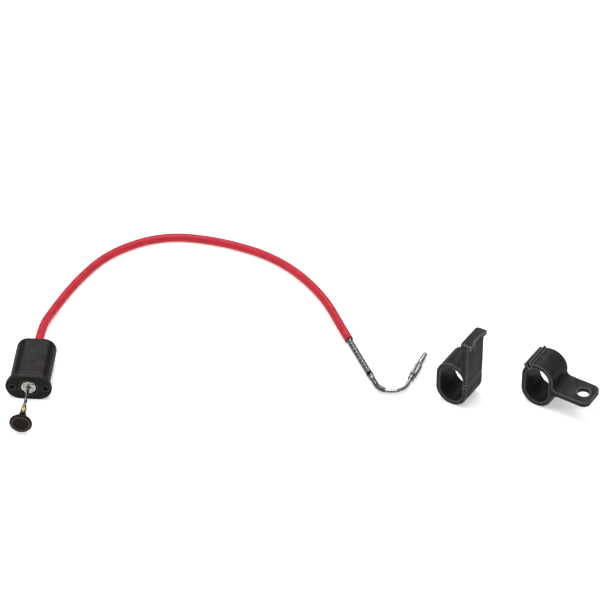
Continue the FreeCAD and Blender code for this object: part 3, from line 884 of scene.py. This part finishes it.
# ---- cable
@dataclass
class Cable:
    """Sheathed conduit over the surface; its route in metres, sizes in millimetres."""

    route: tuple[Place, ...] = (
        (0.0, 0.036, 0.0095), (0.0, 0.058, 0.0095), (0.0026, 0.081, 0.0028),
        (0.0152, 0.1155, 0.0028), (0.0328, 0.1462, 0.0028), (0.066, 0.1675, 0.0028),
        (0.106, 0.165, 0.0028), (0.1468, 0.1492, 0.0028), (0.178, 0.1162, 0.0028),
        (0.1967, 0.0754, 0.0028), (0.215, 0.0376, 0.0028),
    )
    sheath_start: float = 1.8
    metal_run: float = 36.0
    sheath_radius: float = 2.8
    sheath_bore: float = 2.2
    soft_edge: float = 0.12
    conduit_radius: float = 2.05
    conduit_bore: float = 1.3
    coil_wire: float = 0.6
    coil_pitch: float = 1.25
    coil_tucked: float = 8.0
    coil_overlap: float = 1.0
    wire_radius: float = 0.7
    wire_start: float = 15.0
    wire_tail: float = 1.4
    exit_y: float = 41.0
    sheath_step: float = 2.0
    bare_step: float = 1.0
    hidden_step: float = 3.0
    line: Path = field(init=False)

    def __post_init__(self) -> None:
        """Reads the cable's line from its NURBS spline."""
        curve = bpy.data.curves.new("cable_route", "CURVE")
        curve.dimensions = "3D"
        spline = curve.splines.new("NURBS")
        spline.points.add(len(self.route) - 1)
        for point, place in zip(spline.points, self.route):
            point.co = (*place, 1.0)
        spline.order_u = 3
        spline.use_endpoint_u = True
        spline.resolution_u = 24
        carrier = bpy.data.objects.new("cable_route", curve)
        mesh = bpy.data.meshes.new_from_object(carrier)
        self.line = Path([v.co for v in mesh.vertices])
        bpy.data.meshes.remove(mesh)
        bpy.data.objects.remove(carrier)

    def sheath(self) -> tuple[Mesh, Path]:
        """Red sheath, cut square at both ends.

        Returns:
            The mesh and the line it follows.
        """
        line = self.line.part(self.sheath_start * MM, self.line.length - self.metal_run * MM,
                              self.sheath_step * MM)
        mesh = tube(line, self.sheath_radius * MM, 40, self.sheath_bore * MM, self.soft_edge * MM)
        return mesh, line

    def winding(self) -> Mesh:
        """Close-wound round wire of the bare conduit.

        Returns:
            Vertices and faces.
        """
        start = self.line.length - (self.metal_run + self.coil_tucked) * MM
        bare = self.line.part(start, self.line.length - self.coil_wire * MM, self.bare_step * MM)
        return coil(bare, self.conduit_radius, self.coil_wire, self.coil_pitch, 22, 10)

    def covered_run(self) -> Mesh:
        """Conduit inside the sheath, from the anchor to the bare winding.

        Returns:
            Vertices and faces.
        """
        end = self.line.length - (self.metal_run + self.coil_tucked - self.coil_overlap) * MM
        return tube(self.line.part(0.0, end, self.hidden_step * MM), self.conduit_radius * MM, 20,
                    self.conduit_bore * MM)

    def wire(self, tail: Path) -> Mesh:
        """Inner wire through the conduit and round the bend.

        Args:
            tail: The bend's own line, carried on from the conduit's end.

        Returns:
            Vertices and faces.
        """
        run = self.line.part(self.wire_start * MM, self.line.length, self.hidden_step * MM)
        return tube(run.joined(tail), self.wire_radius * MM, 12)

    def build(self, tip: "Tip") -> None:
        """Args:
            tip: The metal end that the cable runs into.
        """
        mesh, line = self.sheath()
        sheath = put("red_sheath_tube", mesh, PVC_EXTRUDED, Slot.RED_PVC, Body.GRIP, "red_sheath")
        steel = (STEEL_DRAWN, Slot.STEEL, Body.GRIP)
        tail = tip.bend_line(0.0, tip.turn, self.wire_tail)
        winding = put("conduit_winding", self.winding(), *steel, "conduit")
        covered = put("conduit_covered_run", self.covered_run(), *steel, "conduit")
        inner = put("inner_wire_run", self.wire(tail), *steel, "inner_wire")


# ---- tip
@dataclass
class Tip:
    """Bent metal end with the turning nut and nipple; sizes in millimetres.

    Distances along the straight end run from the end of the bend.
    """

    start: Place = (215.0, 37.6, 2.8)
    before: Place = (196.7, 75.4, 2.8)
    lead: float = 10.0
    bend_radius: float = 11.0
    tip_angle: float = math.radians(72.3)
    tube_radius: float = 1.25
    sleeve_turn: float = math.radians(48.0)
    sleeve_radius: float = 1.7
    sleeve_wire: float = 0.21
    sleeve_pitch: float = 0.5
    sleeve_step: float = 0.5
    ring_length: float = 1.6
    ferrule_length: float = 5.0
    nut_start: float = 8.8
    nut_end: float = 20.2
    nut_radius: float = 2.4
    nut_bore: float = 1.3
    nut_cavity: float = 1.7
    cavity_start: float = 11.0
    knurls: int = 30
    knurl_deep: float = 0.16
    knurl_land: float = 0.05
    knurl_steps: int = 6
    nipple_start: float = 14.4
    nipple_end: float = 32.3
    nipple_bore: float = 0.75
    nose_length: float = 2.6
    thread_lead: float = 1.6
    thread_radius: float = 1.74
    thread_taper: float = 0.21
    thread_pitch: float = 0.5
    thread_steps: int = 8
    thread_deep: float = 0.13
    thread_least: float = 1.3
    fade_in: float = 0.4
    fade_out: float = 0.8
    pieces: list[bpy.types.Object] = field(default_factory=list)

    def __post_init__(self) -> None:
        """Works out the bend's directions and turn."""
        self.way_in = (Vector(self.start) - Vector(self.before)).normalized()
        self.way_out = Vector((math.cos(self.tip_angle), math.sin(self.tip_angle), 0.0))
        self.turn = self.way_in.angle(self.way_out)

    def bend_at(self, angle: float) -> Vector:
        """Point on the bend's middle line at an angle from its start, in millimetres."""
        left = Vector((-self.way_in.y, self.way_in.x, 0.0))
        corner = Vector(self.start) + self.way_in * self.lead
        centre = corner + left * self.bend_radius
        return centre + (self.way_in * math.sin(angle) - left * math.cos(angle)) * self.bend_radius

    def bend_line(self, skip: float, turn: float, straight: float) -> Path:
        """Middle line of the lead-in, the bend and a straight end.

        Args:
            skip: Millimetres left out at the start of the lead-in.
            turn: How far round the bend it goes, in radians.
            straight: Length of the straight end in millimetres.

        Returns:
            The line in metres.
        """
        points = [Vector(self.start) + self.way_in * skip]
        points.append(Vector(self.start) + self.way_in * (skip + self.lead) / 2)
        count = max(4, round(math.degrees(turn) / 4))
        points += [self.bend_at(turn * i / count) for i in range(count + 1)]
        if straight > 0:
            points.append(self.bend_at(turn) + self.way_out * straight)
        return Path([p * MM for p in points])

    def entry_axis(self) -> Axis:
        """Axis of the lead-in, from the end of the winding."""
        return Axis(Vector(self.start) * MM, self.way_in)

    def straight_axis(self) -> Axis:
        """Axis of the straight end, from the end of the bend."""
        return Axis(self.bend_at(self.turn) * MM, self.way_out)

    def end_ring(self) -> Mesh:
        """Blackened ring that closes the winding.

        Returns:
            Vertices and faces.
        """
        bore, end = self.tube_radius, self.ring_length
        body = [(bore, 0.0), (1.98, 0.0), (2.13, 0.14), (2.13, end - 0.16), (1.98, end),
                (bore, end)]
        return lathe(self.entry_axis(), body, 48, True)

    def ferrule(self) -> Mesh:
        """Turned cone from the ring down to the guard spring, with two grooves.

        Returns:
            Vertices and faces.
        """
        bore, start, end = self.tube_radius, self.ring_length, self.ferrule_length
        body = [(bore, start), (1.95, start), (1.95, start + 0.5), (1.8, start + 0.62),
                (1.8, start + 0.9), (1.9, start + 1.0), (1.86, start + 1.5),
                (1.72, start + 1.62), (1.72, start + 1.9), (1.83, start + 2.0),
                (1.78, end - 0.15), (1.68, end), (bore, end)]
        return lathe(self.entry_axis(), body, 48, True)

    def bend_spring(self) -> Mesh:
        """Fine close-wound spring that guards the first part of the bend.

        Returns:
            Vertices and faces.
        """
        line = self.bend_line(self.ferrule_length, self.sleeve_turn, 0.0)
        inset = self.sleeve_wire * MM
        smooth = line.part(inset, line.length - inset, self.sleeve_step * MM)
        return coil(smooth, self.sleeve_radius, self.sleeve_wire, self.sleeve_pitch, 18, 8)

    def collar(self) -> Mesh:
        """Small turned collar that ends the bent tube's free length.

        Returns:
            Vertices and faces.
        """
        bore = self.tube_radius
        body = [(bore, 4.6), (1.5, 4.6), (1.65, 4.72), (1.98, 5.3), (2.1, 5.5), (2.1, 6.4),
                (1.98, 6.55), (1.66, 6.65), (1.6, 6.8), (1.6, 7.6), (1.5, 7.7), (1.5, 7.95),
                (1.6, 8.05), (1.6, 8.4), (1.5, 8.5), (bore, 8.5)]
        return lathe(self.straight_axis(), body, 48, True)

    def nut(self) -> Mesh:
        """Nut with a straight knurl between two plain ends.

        Returns:
            Vertices and faces.
        """
        start, end, r = self.nut_start, self.nut_end, self.nut_radius
        body = [(self.nut_bore, start), (r - 0.35, start), (r - 0.12, start + 0.2),
                (r - 0.1, start + 0.55), (r, start + 0.7), (r, start + 3.0), (r, end - 3.0),
                (r, end - 0.8), (r - 0.1, end - 0.6), (r - 0.14, end - 0.2), (r - 0.4, end),
                (self.nut_cavity, end), (self.nut_cavity, self.cavity_start),
                (self.nut_bore, self.cavity_start)]

        def knurl(radius: float, along: float, angle: float) -> float:
            """Radius of the knurled band at an angle."""
            if radius / MM < r - self.knurl_land:
                return radius
            wave = 0.5 - 0.5 * math.cos(self.knurls * angle)
            return radius - self.knurl_deep * MM * wave

        return lathe(self.straight_axis(), body, self.knurls * self.knurl_steps, True, knurl)

    def nipple(self) -> Mesh:
        """Tapered nipple: fine thread, then a plain lead and a rounded nose.

        Returns:
            Vertices and faces.
        """
        start, end = self.nipple_start, self.nipple_end
        seat, thread_end, lead = self.nut_end, end - self.nose_length, self.thread_lead
        wide, narrowing = self.thread_radius, self.thread_taper
        body = [(self.nipple_bore, start), (self.nut_cavity, start), (self.nut_cavity, seat),
                (1.72, seat), (1.75, seat + 0.2), (1.75, seat + 0.9), (1.62, seat + 1.1),
                (1.62, seat + 1.4)]
        count = int((thread_end - seat - lead) / self.thread_pitch * self.thread_steps)
        for i in range(count + 1):
            share = i / count
            body.append((wide - narrowing * share,
                         seat + lead + (thread_end - seat - lead) * share))
        body += [(1.48, thread_end + 0.15), (1.5, thread_end + 0.4), (1.5, end - 1.1),
                 (1.42, end - 0.7), (1.26, end - 0.35), (1.02, end - 0.1),
                 (self.nipple_bore, end)]
        low, high = (seat + lead) * MM, thread_end * MM

        def thread(radius: float, along: float, angle: float) -> float:
            """Radius with the helical thread cut into it."""
            if not low <= along <= high or radius / MM < self.thread_least:
                return radius
            phase = along / (self.thread_pitch * MM) - angle / (2 * math.pi)
            edge = min(1.0, (along - low) / (self.fade_in * MM),
                       (high - along) / (self.fade_out * MM))
            wave = 0.5 - 0.5 * math.cos(2 * math.pi * phase)
            return radius - self.thread_deep * MM * wave * edge

        return lathe(self.straight_axis(), body, 48, True, thread)

    def build(self) -> None:
        """Makes the metal end's pieces and dresses the rest."""
        dress(NICKEL_AGED, "bent_tube", "swivel_ring")
        dress(STEEL_DRAWN, "release_pin")
        aged = (NICKEL_AGED, Slot.NICKEL)
        self.pieces += [
            put("winding_end_ring", self.end_ring(), STEEL_BLACKENED, Slot.BLACK_STEEL, Body.GRIP,
                "conduit_ferrule"),
            put("conduit_ferrule_turned", self.ferrule(), *aged, Body.GRIP, "conduit_ferrule"),
            put("bend_guard_spring", self.bend_spring(), STEEL_DRAWN, Slot.STEEL, Body.GRIP,
                "bend_sleeve"),
            put("tube_collar_turned", self.collar(), *aged, Body.GRIP, "tube_collar"),
            put("tip_nut_knurled", self.nut(), *aged, Body.TIP, "tip_nut"),
            put("tip_nipple_threaded", self.nipple(), *aged, Body.TIP, "tip_nipple",
                sharp_deg=50.0),
        ]
        carried = ("bent_tube", "swivel_ring", "release_pin")
        self.pieces += [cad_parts[name] for name in carried]


# ---- clips
@dataclass
class Clips:
    """The two split holders, moulded in one piece each."""

    nodes: tuple[str, str] = ("rail_clip", "lug_clip")

    def build(self) -> None:
        """Dresses both holders."""
        dress(NYLON_GLASS, *self.nodes)


# ---- studio
@dataclass(frozen=True)
class Lamp:
    """Rectangular soft light: place from the aim point and size in metres, power in watts."""

    name: str
    place: Place
    size: tuple[float, float]
    power: float


@dataclass
class Studio:
    """Pale floor, soft lights and the camera; lengths in metres.

    The surround's glow rises from sky_low to sky_high between two heights of the
    sky, as the vertical part of its direction.
    """

    aim: Place = (0.1640, 0.1110, 0.0)
    azimuth: float = math.radians(4.7)
    elevation: float = math.radians(40.0)
    distance: float = 2.2
    lens_mm: float = 200.0
    sensor_mm: float = 36.0
    near: float = 0.05
    far: float = 50.0
    floor_size: float = 12.0
    sky_heights: tuple[float, float] = (0.25, 0.95)
    sky_low: float = 0.07
    sky_high: float = 0.60
    lamps: tuple[Lamp, ...] = (
        Lamp("overhead_softbox", (-0.1, -0.05, 1.5), (1.0, 1.0), 12.5),
        Lamp("back_strip", (-0.08, 1.05, 0.9), (1.2, 0.4), 3.6),
        Lamp("left_strip", (-1.3, -0.3, 0.8), (0.5, 0.5), 3.0),
        Lamp("right_strip", (1.3, -0.2, 0.7), (0.5, 0.5), 1.5),
    )

    def floor(self) -> None:
        """Backdrop sheet under everything."""
        half = self.floor_size / 2
        corners = [(x * half, y * half, 0.0) for x, y in ((-1, -1), (1, -1), (1, 1), (-1, 1))]
        data = bpy.data.meshes.new("studio_floor")
        data.from_pydata(corners, [], [(0, 1, 2, 3)])
        data.materials.append(BACKDROP_SHEET.material())
        sheet = bpy.data.objects.new("studio_floor", data)
        bpy.context.scene.collection.objects.link(sheet)

    def world(self) -> None:
        """Soft surround: bright overhead, dim near the horizon."""
        world = bpy.data.worlds.new("studio_surround")
        bpy.context.scene.world = world
        world.use_nodes = True
        tree = world.node_tree
        tree.nodes.clear()
        way = add_node(tree, "TexCoord").outputs["Generated"]
        split = add_node(tree, "SeparateXYZ", links={"Vector": way})
        low, high = self.sky_heights
        ramp = add_node(tree, "MapRange", {
            "From Min": low, "From Max": high, "To Min": self.sky_low, "To Max": self.sky_high},
            {"Value": split.outputs["Z"]}, interpolation_type="SMOOTHSTEP")
        sky = add_node(tree, "Background", {"Color": (1.0, 1.0, 1.0, 1.0)},
                       {"Strength": ramp.outputs["Result"]})
        add_node(tree, "OutputWorld", links={"Surface": sky.outputs["Background"]})

    def light(self, lamp: Lamp) -> None:
        """Hangs one soft light, aimed at the middle of the set.

        Args:
            lamp: The light.
        """
        data = bpy.data.lights.new(lamp.name, "AREA")
        data.shape = "RECTANGLE"
        data.size, data.size_y = lamp.size
        data.energy = lamp.power
        hung = bpy.data.objects.new(lamp.name, data)
        hung.location = Vector(self.aim) + Vector(lamp.place)
        hung.rotation_mode = "QUATERNION"
        hung.rotation_quaternion = Vector(lamp.place).to_track_quat("Z", "Y")
        bpy.context.scene.collection.objects.link(hung)

    def camera(self) -> None:
        """Long lens from the front, above the surface."""
        level = math.cos(self.elevation)
        back = Vector((math.sin(self.azimuth) * level, -math.cos(self.azimuth) * level,
                       math.sin(self.elevation)))
        data = bpy.data.cameras.new("camera")
        data.lens = self.lens_mm
        data.sensor_width = self.sensor_mm
        data.clip_start = self.near
        data.clip_end = self.far
        eye = bpy.data.objects.new("camera", data)
        eye.location = Vector(self.aim) + back * self.distance
        eye.rotation_mode = "QUATERNION"
        eye.rotation_quaternion = back.to_track_quat("Z", "Y")
        bpy.context.scene.collection.objects.link(eye)
        bpy.context.scene.camera = eye

    def build(self) -> None:
        """Sets up floor, light and camera."""
        self.camera()
        self.floor()
        self.world()
        for lamp in self.lamps:
            self.light(lamp)
        bpy.context.scene.view_settings.view_transform = "Standard"


def main() -> None:
    """Builds the whole release and its studio, in order."""
    logging.basicConfig(level=logging.INFO, format="%(name)s %(message)s")
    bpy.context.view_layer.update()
    Studio().build()
    tip = Tip()
    tip.build()
    Cable().build(tip)
    Grip().build()
    Plunger().build()
    Clips().build()


if __name__ == "__main__":
    main()
